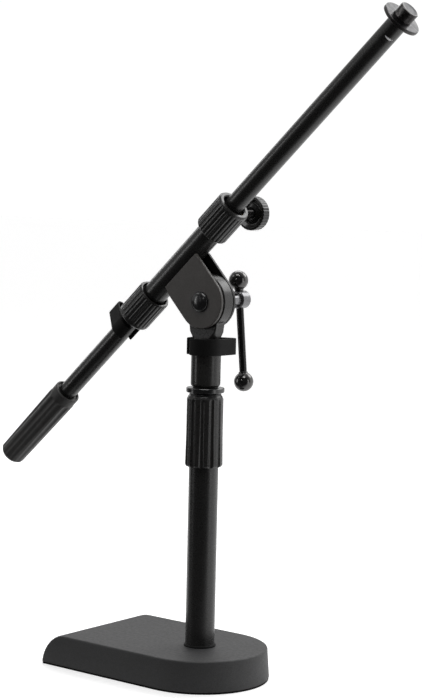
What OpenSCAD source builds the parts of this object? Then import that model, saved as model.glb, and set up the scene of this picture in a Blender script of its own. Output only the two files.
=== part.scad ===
// Boom microphone stand: weighted D-shaped base, telescopic post with a twist
// clutch, swivel head with a T-handle, and a sliding boom rod.
// Frame: millimetres, +Z up, origin on the post's axis at floor level,
// +X towards the microphone end of the boom, +Y towards the T-handle.

/* [Base] */
// Distance from the post's axis to the foot of the flat end
base_back = 129; // [120:1:135]
// Width of the base at its foot
base_w = 120; // [116:1:128]
// Height of the base's top face above the floor
base_h = 27.5; // [26:0.5:32]
// Thickness of the rubber pad under the casting
foot_h = 1.6; // [1:0.1:3]
// Horizontal depth of the rounded bevel on the flat end
bevel_d = 20; // [12:1:24]

/* [Post] */
// Outer diameter of the lower post tube
post_d = 25; // [25:0.1:25.4]
// Wall of the lower post tube
post_wall = 1.5; // [1.2:0.1:1.6]
// Height of the pivot's axis above the floor
pivot_z = 321.3; // [320:0.1:330]
// Outer diameter of the inner post tube
riser_d = 19; // [18.6:0.1:19.2]
// Number of ribs round the height clutch
clutch_ribs = 12; // [8:1:16]

/* [Boom] */
// Elevation of the boom above horizontal
boom_angle = 42.8; // [20:0.1:60]
// Distance from the pivot's axis to the boom's axis
boom_offset = 41; // [40.5:0.1:44]
// Outer diameter of the sliding boom rod
rod_d = 16; // [15.8:0.1:16]
// Outer diameter of the central boom tube
sleeve_d = 21; // [21:0.1:21.2]
// Front end of the rod's flange, measured along the boom from the pivot
rod_front = 286.3; // [250:1:300]
// Number of ribs round each boom sleeve
sleeve_ribs = 24; // [16:1:30]
// Number of ribs round the rear grip
grip_ribs = 10; // [8:1:14]

/* [T-handle] */
// Distance of the tommy bar from the stand's middle plane
bar_y = 44; // [44:0.1:46]
// Distance between the centres of the two balls
bar_len = 86.2; // [80:0.1:90]
// Diameter of each ball
ball_d = 16.8; // [14:0.1:17]
// Lean of the hanging bar from vertical
bar_lean = 5.5; // [0:0.5:10]

/* [Hidden] */
$fn = 96;

// Suffixes: _r radius, _d diameter or depth, _h height, _w width; _y and _z
// places on those axes; _t a place along the boom, 0 abreast of the pivot.
gap = 0.02;    // between faces that only touch
slip = 0.05;   // radial clearance of parts that slide or screw together
over = 1;      // overrun of a cut past the face it opens

post_r = post_d/2;
post_bore = post_r - post_wall;
riser_r = riser_d/2;
riser_bore = riser_r - 1.2;
rod_r = rod_d/2;
rod_bore = rod_r - 1.4;
sleeve_r = sleeve_d/2;
sleeve_bore = rod_r + 0.6;
stud_r = 7.9375;       // 5/8 inch microphone thread, outside
pivot_bolt_r = 4;

// colours shared by several pieces
black = [0.05,0.05,0.05];
tube_black = [0.06,0.06,0.06];
zinc = [0.6,0.6,0.62];
plate_brown = [0.16,0.15,0.14];
cream = [0.85,0.84,0.80];
collet_grey = [0.75,0.74,0.70];

// ---- helpers -------------------------------------------------------------
module rod(radius, start, end) {
  translate([0,0,start]) cylinder(r=radius, h=end-start);
}
module ring(outer, inner, start, end) {
  difference() {
    rod(outer, start, end);
    rod(inner, start-over, end+over);
  }
}
// solid of revolution about Z, outline given as [radius, z] points
module turned(outline) {
  rotate_extrude($fn=96) polygon(outline);
}
// the same, with both ends of the outline closed square to the axis
module turned_solid(outline) {
  turned(concat([[0, outline[0].y]], outline, [[0, outline[len(outline)-1].y]]));
}
// lays children drawn about Z along +Y
module along_y() {
  rotate([-90,0,0]) children();
}
module at_pivot() {
  translate([0,0,pivot_z]) children();
}
// boom's frame: x along the boom, z from the pivot towards the boom
module boom_frame() {
  at_pivot() rotate([0,-boom_angle,0]) children();
}
// within the boom's frame, lays children drawn about Z on the boom's axis
module along_boom() {
  translate([0,0,boom_offset]) rotate([0,90,0]) children();
}
// local z runs up the boom, local x points towards the pivot
module on_boom() {
  boom_frame() along_boom() children();
}
// grooves centred at a radius, leaving count ribs between them
module flutes(count, centre_r, groove_r, start, end, turn=0) {
  for (i=[0:count-1])
    rotate([0,0,turn+i*360/count])
      translate([centre_r,0,start]) cylinder(r=groove_r, h=end-start, $fn=32);
}
module thread_roots(count, outer, root_r, start, pitch, width) {
  for (i=[0:count-1])
    ring(outer, root_r, start+i*pitch, start+i*pitch+width);
}
// six slots that split a collet into fingers
module collet_slots(inner, width, start, length) {
  for (angle=[0:60:300])
    rotate([0,0,angle+15]) translate([inner,-width/2,start]) cube([8,width,length]);
}
// prism round a big cylinder at the origin and a small one at x = tail;
// the flanks sit a hair inside the true tangents
module teardrop(big_r, small_r, tail, start, end) {
  angle = acos((big_r-small_r)/tail);
  normal = [cos(angle), sin(angle)];
  big = (big_r-0.04)*normal;
  small = [tail,0] + (small_r-0.04)*normal;
  rod(big_r, start, end);
  translate([tail,0,0]) rod(small_r, start, end);
  translate([0,0,start]) linear_extrude(height=end-start)
    polygon([big, small, [small.x,-small.y], [big.x,-big.y]]);
}
// snap-on cable clip: band round the tube, tail with the cable pocket along
// +X, and a mouth opposite it that opens by mouth_angle to each side
module clip(inner, outer, tail, tail_r, pocket_r, mouth_angle, height) {
  mouth_x = -3*outer*cos(mouth_angle);
  mouth_y = 3*outer*sin(mouth_angle);
  difference() {
    union() teardrop(outer, tail_r, tail, 0, height);
    teardrop(inner, pocket_r, tail, -over, height+over);
    translate([0,0,-over]) linear_extrude(height=height+2*over)
      polygon([[0,0], [mouth_x,mouth_y], [mouth_x,-mouth_y]]);
  }
}

// ---- base ----------------------------------------------------------------
base_r = base_w/2;
base_top_r = base_r - 2;        // less the draft of the sides
casting_h = base_h - foot_h;
foot_break = 0.8;
top_break = 1.1;
bevel_end = 75;                 // angle at which the bevel's arc stops
bolt_seat_z = foot_h + 9.5;     // roof of the recess round the bolt's head
washer_z = bolt_seat_z - 2.5;
post_bolt_r = 5;
relief = [52, 92, 5];           // hollow in the casting's underside
relief_x = -88;
pad_inset = 0.4;
foot_collar_h = 2.1;

// edge of the casting, [distance from the middle, z] from the foot up
base_edge = [[base_r-foot_break,0], [base_r,foot_break],
  [base_top_r+0.1,casting_h-top_break], [base_top_r-top_break,casting_h]];
// lengthwise section, [x, z], with the flat end's bevel
base_side = concat([[0,0], [-base_back,0]],
  [for (angle=[5:5:bevel_end])
    [-(base_back-bevel_d) - bevel_d*(cos(angle)-cos(bevel_end))/(1-cos(bevel_end)),
     casting_h*sin(angle)/sin(bevel_end)]],
  [[0,casting_h]]);

module base_casting() {
  color([0.20,0.20,0.21]) difference() {
    translate([0,0,foot_h]) union() {
      turned_solid(base_edge);
      intersection() {
        rotate([90,0,0]) translate([0,0,-base_r-over])
          linear_extrude(height=2*(base_r+over)) polygon(base_side);
        rotate([90,0,90]) translate([0,0,-base_back-over])
          linear_extrude(height=base_back+over)
            polygon(concat([for (point=base_edge) [-point.x,point.y]],
                           [for (i=[3:-1:0]) base_edge[i]]));
      }
    }
    rod(post_bolt_r+0.3, -over, base_h+over);
    rod(17, -over, bolt_seat_z);
    translate([relief_x,-relief.y/2,-over])
      cube([relief.x, relief.y, foot_h+relief.z+over]);
  }
}
// one sheet that the stand rests on, all but flush with the casting's edge
module base_pad() {
  color(black) union() {
    rod(base_r-pad_inset, 0, foot_h-gap);
    translate([-base_back+pad_inset, -base_r+pad_inset, 0])
      cube([base_back-pad_inset, base_w-2*pad_inset, foot_h-gap]);
  }
}
module post_bolt() {
  head_h = 6.4;
  color(zinc) difference() {
    union() {
      rod(post_bolt_r, washer_z-0.1, base_h+17);
      translate([0,0,washer_z-gap-head_h]) cylinder(r=9.2, h=head_h, $fn=6);
    }
    // recess in the head's underside
    rod(3, foot_h-2, foot_h+1.6);
  }
}
module post_washer() {
  color(zinc) ring(12, post_bolt_r+0.2, washer_z, bolt_seat_z-gap);
}
module post_plug() {
  color([0.5,0.5,0.52])
    ring(post_bore-gap, post_bolt_r+slip, base_h+gap, base_h+20);
}
module post_foot_collar() {
  color(black) difference() {
    turned_solid([[post_r+1.2,base_h+gap], [post_r+1.2,base_h+0.7],
      [post_r+0.8,base_h+1.6], [post_r+0.3,base_h+foot_collar_h]]);
    rod(post_r+gap, base_h-over, base_h+foot_collar_h+over);
  }
}

// ---- post ----------------------------------------------------------------
clutch_z0 = 182.7;
clutch_z1 = 244.1;
tube_top = 222;                 // top of the lower tube, inside the clutch
collar_step_z = 196;
collet_top = 239.5;
riser_z0 = 50;
flange_z0 = 245;
flange_z1 = 249.3;

module lower_tube() {
  color(tube_black) ring(post_r, post_bore, base_h+gap, tube_top);
}
module clutch_collar() {
  root_r = post_r + 0.9;
  color([0.10,0.10,0.10]) difference() {
    union() {
      ring(post_r+1.3, post_r+gap, collar_step_z, tube_top);
      ring(root_r, post_r+gap, 190, collar_step_z);
    }
    thread_roots(6, post_r+3, root_r, 200, 3.4, 1.4);
  }
}
module height_collet() {
  bore = riser_r + slip;
  color(collet_grey) difference() {
    turned([[bore,tube_top+gap], [post_r+1.1,tube_top+gap], [post_r+1.1,tube_top+1.5],
      [riser_r+1.35,collet_top], [bore,collet_top]]);
    collet_slots(bore-2, 1.2, tube_top+4, 30);
  }
}
module height_clutch_grip() {
  bore = post_r + 1.4;
  color([0.07,0.07,0.07]) difference() {
    turned_solid([[15.3,clutch_z0], [15.9,clutch_z0+1], [15.3,238.4], [15.05,239.7],
      [14.3,241.4], [13.6,243], [13.3,clutch_z1]]);
    rod(bore, clutch_z0-over, tube_top+1.5);
    // closing cone round the collet
    turned_solid([[bore,tube_top+1.4], [riser_r+1.5,240.2], [riser_r+0.9,241],
      [riser_r+0.9,clutch_z1+over]]);
    flutes(clutch_ribs, 17.2, 2.3, clutch_z0-over, 242);
  }
}
module riser_guide_bush() {
  color(cream) ring(post_bore-0.06, riser_r+slip, 52, 76);
}
module riser_tube() {
  color([0.75,0.75,0.77]) ring(riser_r, riser_bore, riser_z0, flange_z0-gap);
}
// plug in the riser, flange and threaded stud in one
module riser_stud() {
  plug_r = riser_bore - slip;
  color([0.3,0.3,0.3])
    turned_solid([[plug_r,flange_z0-18], [plug_r,flange_z0], [13.4,flange_z0],
      [13.8,flange_z0+1.2], [16,flange_z0+2.3], [16,flange_z1-0.4], [15.6,flange_z1],
      [stud_r-0.6,flange_z1], [stud_r-0.6,flange_z1+1.6], [stud_r,flange_z1+2.2],
      [stud_r,flange_z1+14], [stud_r-0.7,flange_z1+14.7]]);
}

// ---- swivel --------------------------------------------------------------
disc_y = 5.8;                   // half thickness of the swivel disc
disc_r = 23;
neck_r = 12.5;
neck_top = pivot_z - 30.5;
block_x = 14.8;                 // half length of the block under the disc
corner_r = 2;
post_clip_z = 276.9;
post_clip_h = 13.8;
post_clip_turn = 53.5;          // turn of the clip's tail from +X

module swivel_casting() {
  neck_z = flange_z1 + gap;
  color([0.09,0.09,0.09]) difference() {
    union() {
      turned_solid([[10.7,neck_z], [10.7,neck_z+0.8], [12,neck_z+1.5],
        [neck_r,neck_z+2.3], [neck_r,neck_top]]);
      // shoulder from the round neck to the block
      hull() {
        translate([0,0,neck_top-0.1]) cylinder(r=neck_r, h=0.6, $fn=64);
        for (x=[-1,1]*(block_x-corner_r), y=[-4.6,4.6])
          translate([x,y,pivot_z-23.3]) cylinder(r=corner_r, h=0.5, $fn=32);
      }
      translate([-block_x,-disc_y,pivot_z-23]) cube([2*block_x,2*disc_y,8]);
      at_pivot() along_y() rod(disc_r, -disc_y, disc_y);
    }
    rod(stud_r+0.03, neck_z-over, flange_z1+18);
    at_pivot() along_y() rod(pivot_bolt_r+slip, -20, 20);
  }
}
module post_cable_clip() {
  color(black) translate([0,0,post_clip_z]) rotate([0,0,post_clip_turn])
    clip(post_r+slip, post_r+3.9, 21.1, 4.6, 2.6, 16.5, post_clip_h);
}

// ---- yoke ----------------------------------------------------------------
plate_r = 22.5;
plate_y0 = 6.9;
plate_y1 = 9.9;
plate_h = plate_y1 - plate_y0;
plate_top = boom_offset - 7.4;  // above the pivot, in the boom's frame
bolt_square = 8;                // side of the bolt's square neck

// straight flanks and top of a side plate, [x, z] in the boom's frame
plate_flanks = [[-plate_r,0], [plate_r,0], [plate_r,plate_top-1], [plate_r-1,plate_top],
  [-20.4,plate_top], [-21.2,plate_top-0.8], [-plate_r,23.6]];

// lobe round the pivot, and a top whose inner edge bears on the tube
module side_plate(y_start, y_end) {
  boom_frame() difference() {
    rotate([90,0,0]) translate([0,0,-y_end]) linear_extrude(height=y_end-y_start) union() {
      circle(r=plate_r);
      polygon(plate_flanks);
    }
    along_boom() rod(sleeve_r+gap, -60, 60);
    along_y() rod(pivot_bolt_r+0.1, y_start-over, y_end+over);
  }
}
// square bar along +Y, centred on the pivot
module square_bar(width, start, length) {
  translate([-width/2,start,-width/2]) cube([width,length,width]);
}
module near_plate() {
  color(plate_brown) difference() {
    side_plate(-plate_y1, -plate_y0);
    boom_frame() square_bar(bolt_square+0.2, -plate_y1-over, plate_h+2*over);
  }
}
module far_plate() {
  color(plate_brown) side_plate(plate_y0, plate_y1);
}
module friction_washers() {
  side_gap = 0.03;
  washer_h = plate_y0 - disc_y - 2*side_gap;
  color([0.35,0.28,0.20]) at_pivot() along_y()
    for (start=[disc_y+side_gap, -plate_y0+side_gap])
      ring(19, pivot_bolt_r+0.15, start, start+washer_h);
}
module pivot_bolt() {
  head_y = -plate_y1 - gap;
  color([0.12,0.12,0.12]) boom_frame() {
    along_y() turned([[0,head_y-4], [3.2,head_y-3.8], [5.8,head_y-2.9], [7.8,head_y-1.5],
      [8.6,head_y-0.5], [8.7,head_y], [0,head_y]]);
    square_bar(bolt_square, head_y-0.01, plate_h);
    along_y() rod(pivot_bolt_r, head_y, 36);
  }
}
module handle_washer() {
  color([0.5,0.5,0.52]) at_pivot() along_y()
    ring(8, pivot_bolt_r+0.1, plate_y1+gap, plate_y1+1.5);
}

// ---- T-handle ------------------------------------------------------------
nut_y = 11.5;
nut_head_y0 = bar_y - 4.6;
nut_head_y1 = bar_y + 7.2;
bar_r = 3.2;
ball_up = 16.2;                 // upper ball's height over the pivot's axis
ball_low = ball_up - bar_len;
bar_end = 1.5;                  // bar's reach past each ball's centre

module bar_frame() {
  translate([0,bar_y,pivot_z]) rotate([0,-bar_lean,0]) children();
}
module handle_nut() {
  color([0.55,0.55,0.56]) difference() {
    at_pivot() along_y() turned_solid([[6.6,nut_y], [6.6,nut_y+2.5], [5.2,nut_y+4],
      [5.2,nut_head_y0-0.6], [6.6,nut_head_y0], [7.7,nut_head_y0+1.1],
      [7.7,nut_head_y1-1.2], [6.6,nut_head_y1]]);
    at_pivot() along_y() rod(pivot_bolt_r+slip, nut_y-over, bar_y-5.5);
    bar_frame() rod(bar_r+0.07, -20, 20);
  }
}
module tommy_bar() {
  color([0.08,0.08,0.08]) bar_frame() rod(bar_r, ball_low-bar_end, ball_up+bar_end);
}
module tommy_bar_balls() {
  // [ball's height, start and end of its socket from the ball's centre]
  balls = [[ball_up, -12, bar_end+gap], [ball_low, -bar_end-gap, 12]];
  color([0.04,0.04,0.04]) bar_frame()
    for (ball=balls) translate([0,0,ball[0]]) difference() {
      sphere(d=ball_d);
      rod(bar_r+gap, ball[1], ball[2]);
    }
}

// ---- boom tube, front sleeve and its lock ---------------------------------
tube_t0 = -62;
tube_t1 = 67;
front_t0 = 41.6;
front_t1 = 73.7;
grip_r = 14.7;                  // outside of the front sleeve and rear grip
groove_at = 15.2;               // centres of the grooves round both
groove_r = 1;
screw_t = 63.5;
screw_r = 3;
nut_r = 5;
pad_y0 = rod_r + 0.06;
pad_y1 = pad_y0 + 2.6;
knob_y = 31;
screw_end = knob_y + 6;

// local z runs towards +Y from the boom's axis
module screw_axis() {
  on_boom() translate([0,0,screw_t]) along_y() children();
}
module boom_sleeve_tube() {
  color(tube_black) difference() {
    on_boom() ring(sleeve_r, sleeve_bore, tube_t0, tube_t1);
    screw_axis() rod(4.6, 2, 20);
  }
}
module front_sleeve() {
  color([0.08,0.08,0.08]) difference() {
    on_boom() difference() {
      turned_solid([[13.8,front_t0], [grip_r,front_t0+1.2], [grip_r,front_t1-1.5],
        [13.7,front_t1]]);
      rod(sleeve_r+gap, front_t0-over, tube_t1+gap);
      rod(10.3, tube_t1, front_t1+over);
      flutes(sleeve_ribs, groove_at, groove_r, front_t0-over, front_t1-2.8);
    }
    screw_axis() rod(nut_r+gap, 8, 20);
  }
}
module lock_nut() {
  color([0.75,0.62,0.30]) screw_axis() difference() {
    ring(nut_r, screw_r+slip, sleeve_r+0.3, 15);
    // clears the tube's outside
    rotate([90,0,0]) rod(sleeve_r+0.03, -8, 8);
  }
}
module pressure_pad() {
  color(cream) screw_axis() rod(2.6, pad_y0, pad_y1);
}
module lock_screw() {
  color(zinc) screw_axis() rod(screw_r, pad_y1+gap, screw_end);
}
module lock_knob() {
  color(black) screw_axis() difference() {
    turned_solid([[3,knob_y+2.2], [5.4,knob_y+1.2], [9,knob_y+3.2], [12.2,knob_y],
      [13.6,knob_y], [14.2,knob_y+0.7], [14.2,knob_y+8.2], [13,knob_y+9.4]]);
    rod(screw_r+gap, knob_y-over, screw_end+gap);
    flutes(30, 14.6, 0.7, knob_y-over, knob_y+10);
  }
}

// ---- rear clutch -----------------------------------------------------------
rear_t0 = -71.2;
rear_t1 = -39.7;
rear_collar_t = -61.9;
rear_bore = 12.27;

module rear_clutch_collar() {
  color([0.10,0.10,0.10]) on_boom() difference() {
    ring(12.2, sleeve_r+gap, rear_collar_t, -44);
    thread_roots(4, 14, 11.8, -58.5, 3, 1.2);
  }
}
module rear_collet() {
  bore = rod_r + 0.06;
  color(collet_grey) on_boom() difference() {
    turned([[bore,-69.6], [rod_r+0.9,-69.6], [sleeve_r+0.6,-63.4],
      [sleeve_r+0.6,tube_t0-gap], [bore,tube_t0-gap]]);
    collet_slots(rod_r-1, 1, -75, 11);
  }
}
module rear_clutch_grip() {
  color([0.08,0.08,0.08]) on_boom() difference() {
    turned_solid([[13.7,rear_t0], [grip_r,rear_t0+1.2], [grip_r,rear_t1-1.2],
      [13.8,rear_t1]]);
    rod(rear_bore, -62, rear_t1+over);
    // closing cone round the collet
    turned_solid([[rod_r+0.5,rear_t0-over], [rod_r+1,-70], [sleeve_r+0.75,-63.5],
      [rear_bore,rear_collar_t]]);
    flutes(sleeve_ribs, groove_at, groove_r, rear_t0+3.4, rear_t1+over);
  }
}

// ---- boom rod ---------------------------------------------------------------
grip_t0 = -268.3;
grip_t1 = -174.7;
grip_step_t = grip_t1 - 9;      // front end of the counterweight
rod_t0 = -262;
rod_t1 = rod_front - 3.4;
rod_clip_t = -89.8;
rod_clip_turn = 172;            // turn of the clip's tail about the boom

module rod_guide_bush() {
  color(cream) on_boom() ring(sleeve_bore-slip, rod_r+slip, 40, 54);
}
module rod_cable_clip() {
  color(black) on_boom() translate([0,0,rod_clip_t]) rotate([0,0,rod_clip_turn])
    clip(rod_r+slip, rod_r+3, 18, 4.4, 2.4, 34, 13.6);
}
// two opposite dents that hold the flange's plug in the rod
module crimp(centre_r) {
  for (angle=[-45,135])
    rotate([0,0,angle]) translate([centre_r,0,rod_t1-13.3])
      scale([1,1.5,0.75]) sphere(r=2.6, $fn=32);
}
module boom_rod() {
  color(tube_black) on_boom() difference() {
    ring(rod_r, rod_bore, rod_t0, rod_t1);
    crimp(rod_r+1.8);
  }
}
module mic_stud() {
  plug_r = rod_bore - slip;
  color([0.35,0.35,0.36]) on_boom() difference() {
    turned_solid([[plug_r,rod_t1-18], [plug_r,rod_t1+gap], [15,rod_t1+gap],
      [16.2,rod_front-2.7], [16.2,rod_front-0.4], [15.8,rod_front], [stud_r,rod_front],
      [stud_r,rod_front+8.2], [stud_r-0.7,rod_front+8.9]]);
    crimp(rod_r-0.6);
  }
}
module rod_end_plug() {
  color(black) on_boom() union() {
    rod(rod_bore-slip, rod_t0-0.6, rod_t0+14);
    rod(rod_r, rod_t0-3, rod_t0-gap);
  }
}
module counterweight() {
  color([0.45,0.45,0.47]) on_boom() ring(10.1, rod_r+gap, rod_t0+2, grip_step_t);
}
module boom_grip() {
  color([0.07,0.07,0.07]) on_boom() difference() {
    turned_solid([[9.6,grip_t0], [11.6,grip_t0+2.4], [12.4,grip_t1-10], [12,grip_t1-8.6],
      [12,grip_t1-0.8], [11.4,grip_t1]]);
    rod(rod_r+gap, grip_step_t-0.1, grip_t1+over);
    rod(10.12, rod_t0-3.05, grip_step_t);
    flutes(grip_ribs, 16.2, 4.9, grip_t0-over, grip_t1-9.4, 18);
  }
}

base_casting();
base_pad();
post_bolt();
post_washer();
post_plug();
post_foot_collar();
lower_tube();
clutch_collar();
height_collet();
height_clutch_grip();
riser_guide_bush();
riser_tube();
riser_stud();
swivel_casting();
post_cable_clip();
near_plate();
far_plate();
friction_washers();
pivot_bolt();
handle_washer();
handle_nut();
tommy_bar();
tommy_bar_balls();
boom_sleeve_tube();
front_sleeve();
lock_nut();
pressure_pad();
lock_screw();
lock_knob();
rear_clutch_collar();
rear_collet();
rear_clutch_grip();
rod_guide_bush();
rod_cable_clip();
boom_rod();
mic_stud();
rod_end_plug();
counterweight();
boom_grip();
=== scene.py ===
import bpy, bmesh, math
from math import sin, cos, pi, sqrt, radians, acos, asin, atan2
from mathutils import Matrix, Vector


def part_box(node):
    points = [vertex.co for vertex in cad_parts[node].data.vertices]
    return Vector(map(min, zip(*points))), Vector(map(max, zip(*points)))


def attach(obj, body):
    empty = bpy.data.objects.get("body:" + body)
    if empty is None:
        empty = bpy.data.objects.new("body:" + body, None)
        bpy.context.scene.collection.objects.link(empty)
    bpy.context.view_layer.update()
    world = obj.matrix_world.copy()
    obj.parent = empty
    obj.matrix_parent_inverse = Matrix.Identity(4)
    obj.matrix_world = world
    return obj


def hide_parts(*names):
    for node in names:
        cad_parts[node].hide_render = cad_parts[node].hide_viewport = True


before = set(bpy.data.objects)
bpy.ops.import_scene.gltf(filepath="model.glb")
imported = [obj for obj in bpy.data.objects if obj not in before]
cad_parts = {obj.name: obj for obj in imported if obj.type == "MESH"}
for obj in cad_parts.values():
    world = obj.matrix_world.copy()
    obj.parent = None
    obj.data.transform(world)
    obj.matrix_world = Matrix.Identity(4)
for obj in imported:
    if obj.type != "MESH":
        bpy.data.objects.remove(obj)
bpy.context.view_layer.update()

MM = 0.001
TAU = 2 * pi
scene = bpy.context.scene

# ---------------------------------------------------------------- the design
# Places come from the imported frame; everything below is in millimetres.
def box(n):
    lo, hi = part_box(n)
    return lo / MM, hi / MM

_lo, _hi = box("friction_washers")
PIVOT_Z = (_lo.z + _hi.z) / 2
_lo, _hi = box("base_casting")
BASE_Z0, BASE_Z1, BASE_BACK, BASE_R = _lo.z, _hi.z, -_lo.x, _hi.y
_lo, _hi = box("lower_tube")
POST_R = _hi.x
BETA = radians(42.8)
OFFSET = 41.0
ROD_R, SL_R, RISER_R = 8.0, 10.5, 9.5
STUD_R = 7.9375

ROOT = Matrix.Identity(4)
BOOM = (Matrix.Translation((0, 0, PIVOT_Z)) @ Matrix.Rotation(-BETA, 4, "Y"))
ONB = BOOM @ Matrix.Translation((0, 0, OFFSET)) @ Matrix.Rotation(radians(90), 4, "Y")
AXY = Matrix.Rotation(radians(-90), 4, "X")          # local z to +Y
BAR = Matrix.Translation((0, 44.0, PIVOT_Z)) @ Matrix.Rotation(radians(-5.5), 4, "Y")
SCREW = ONB @ Matrix.Translation((0, 0, 63.5)) @ AXY


# ---------------------------------------------------------------- mesh tools
def new_obj(name, verts, faces, mats, body, repl=(), M=ROOT, sharp=38.0, normals=True):
    me = bpy.data.meshes.new(name)
    me.from_pydata([tuple((M @ Vector(v)) * MM) for v in verts], [], faces)
    me.update()
    return finish_obj(name, me, mats, body, repl, sharp, normals)


def finish_obj(name, me, mats, body, repl=(), sharp=38.0, normals=True):
    bm = bmesh.new()
    bm.from_mesh(me)
    bmesh.ops.remove_doubles(bm, verts=bm.verts, dist=2e-7)
    bmesh.ops.dissolve_degenerate(bm, edges=bm.edges, dist=1e-7)
    bmesh.ops.recalc_face_normals(bm, faces=bm.faces)
    bm.to_mesh(me)
    bm.free()
    for p in me.polygons:
        p.use_smooth = True
    me.set_sharp_from_angle(angle=radians(sharp))
    ob = bpy.data.objects.new(name, me)
    scene.collection.objects.link(ob)
    for m in (mats if isinstance(mats, (list, tuple)) else [mats]):
        me.materials.append(m)
    if normals:
        wn = ob.modifiers.new("even_shading", "WEIGHTED_NORMAL")
        wn.keep_sharp = True
        wn.weight = 60
    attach(ob, body)
    if repl:
        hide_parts(*repl)
    return ob


def soft(pts, r=0.4, n=3, closed=False):
    """Rounds the corners of an outline of (x, y) or (x, y, radius)."""
    out, m = [], len(pts)
    for i, p in enumerate(pts):
        rad = p[2] if len(p) > 2 else r
        if (not closed and (i == 0 or i == m - 1)) or rad <= 0:
            out.append((p[0], p[1]))
            continue
        a, b, c = Vector(pts[i - 1][:2]), Vector(p[:2]), Vector(pts[(i + 1) % m][:2])
        u, v = a - b, c - b
        lu, lv = u.length, v.length
        if lu < 1e-6 or lv < 1e-6:
            out.append((p[0], p[1]))
            continue
        u, v = u / lu, v / lv
        ang = acos(max(-1, min(1, u.dot(v))))
        if ang > radians(176) or ang < radians(3):
            out.append((p[0], p[1]))
            continue
        t = min(rad / math.tan(ang / 2), 0.46 * lu, 0.46 * lv)
        p0, p2 = b + u * t, b + v * t
        for k in range(n + 1):
            s = k / n
            q = p0 * (1 - s) ** 2 + b * 2 * s * (1 - s) + p2 * s * s
            out.append((q.x, q.y))
    return out


def dense(pts, step):
    """Adds points along the long runs of an outline, so that a swept form can vary along them."""
    out = [pts[0]]
    for a, b in zip(pts, pts[1:]):
        d = sqrt((a[0] - b[0]) ** 2 + (a[1] - b[1]) ** 2)
        k = max(1, int(math.ceil(d / step)))
        for i in range(1, k + 1):
            out.append((a[0] + (b[0] - a[0]) * i / k, a[1] + (b[1] - a[1]) * i / k))
    return out


def rev(prof, seg=96, rf=None, a0=0.0):
    """Solid of revolution about local z. rf(theta, r, z) may change the radius. Ends on the axis, or closes on itself."""
    verts, rings, faces = [], [], []
    for r, z in prof:
        if r < 1e-5:
            rings.append([len(verts)])
            verts.append((0, 0, z))
        else:
            ring = []
            for i in range(seg):
                th = a0 + TAU * i / seg
                q = rf(th, r, z) if rf else r
                if isinstance(q, tuple):
                    q, zz = q
                else:
                    zz = z
                ring.append(len(verts))
                verts.append((q * cos(th), q * sin(th), zz))
            rings.append(ring)
    closed = len(rings[0]) > 1 and len(rings[-1]) > 1
    pairs = list(zip(rings, rings[1:])) + ([(rings[-1], rings[0])] if closed else [])
    for a, b in pairs:
        if len(a) == 1 and len(b) == 1:
            continue
        for i in range(seg):
            j = (i + 1) % seg
            if len(a) == 1:
                faces.append((a[0], b[i], b[j]))
            elif len(b) == 1:
                faces.append((a[i], b[0], a[j]))
            else:
                faces.append((a[i], b[i], b[j], a[j]))
    return verts, faces


def lathe(name, prof, mat, body, repl=(), M=ROOT, seg=96, rf=None, r=0.35, n=3, sharp=38.0, closed=None, a0=0.0, step=None):
    if closed is None:
        closed = prof[0][0] > 1e-5
    p = soft(prof, r, n, closed)
    if step:
        p = dense(p + ([p[0]] if closed else []), step)
        if closed:
            p = p[:-1]
    v, f = rev(p, seg, rf, a0)
    return new_obj(name, v, f, mat, body, repl, M, sharp)


def smin(a, b, k):
    h = max(0.0, min(1.0, 0.5 + 0.5 * (b - a) / k))
    return b * (1 - h) + a * h - k * h * (1 - h)


def flutes(n, rc, gr, a0, k=0.35):
    """Radius left by n round-bottomed grooves of radius gr centred at rc; their edges are rounded by k."""
    def g(th, r):
        d = (th - a0 + pi / n) % (TAU / n) - pi / n
        s = rc * sin(d)
        if abs(s) >= gr:
            return r
        return smin(r, rc * cos(d) - sqrt(gr * gr - s * s), k)
    return g


def flat_prism(outline, z0, z1):
    n = len(outline)
    v = [(x, y, z0) for x, y in outline] + [(x, y, z1) for x, y in outline]
    f = [tuple(reversed(range(n))), tuple(range(n, 2 * n))]
    f += [(i, (i + 1) % n, n + (i + 1) % n, n + i) for i in range(n)]
    return v, f


def bevel(ob, width, seg=3, angle=32.0):
    m = ob.modifiers.new("rounded_edges", "BEVEL")
    m.width = width * MM
    m.segments = seg
    m.limit_method = "ANGLE"
    m.angle_limit = radians(angle)
    m.harden_normals = False
    m.miter_outer = "MITER_ARC"
    return ob


def bake(ob, sharp=38.0):
    """Applies the object's modifiers and shades it smooth up to an angle."""
    bpy.context.view_layer.update()
    dg = bpy.context.evaluated_depsgraph_get()
    me = bpy.data.meshes.new_from_object(ob.evaluated_get(dg))
    ob.modifiers.clear()
    old = ob.data
    ob.data = me
    bpy.data.meshes.remove(old)
    bm = bmesh.new()
    bm.from_mesh(me)
    bmesh.ops.remove_doubles(bm, verts=bm.verts, dist=1e-6)
    bmesh.ops.dissolve_degenerate(bm, edges=bm.edges, dist=1e-6)
    bm.to_mesh(me)
    bm.free()
    for p in me.polygons:
        p.use_smooth = True
    me.set_sharp_from_angle(angle=radians(sharp))
    wn = ob.modifiers.new("even_shading", "WEIGHTED_NORMAL")
    wn.keep_sharp = True
    return ob


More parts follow.
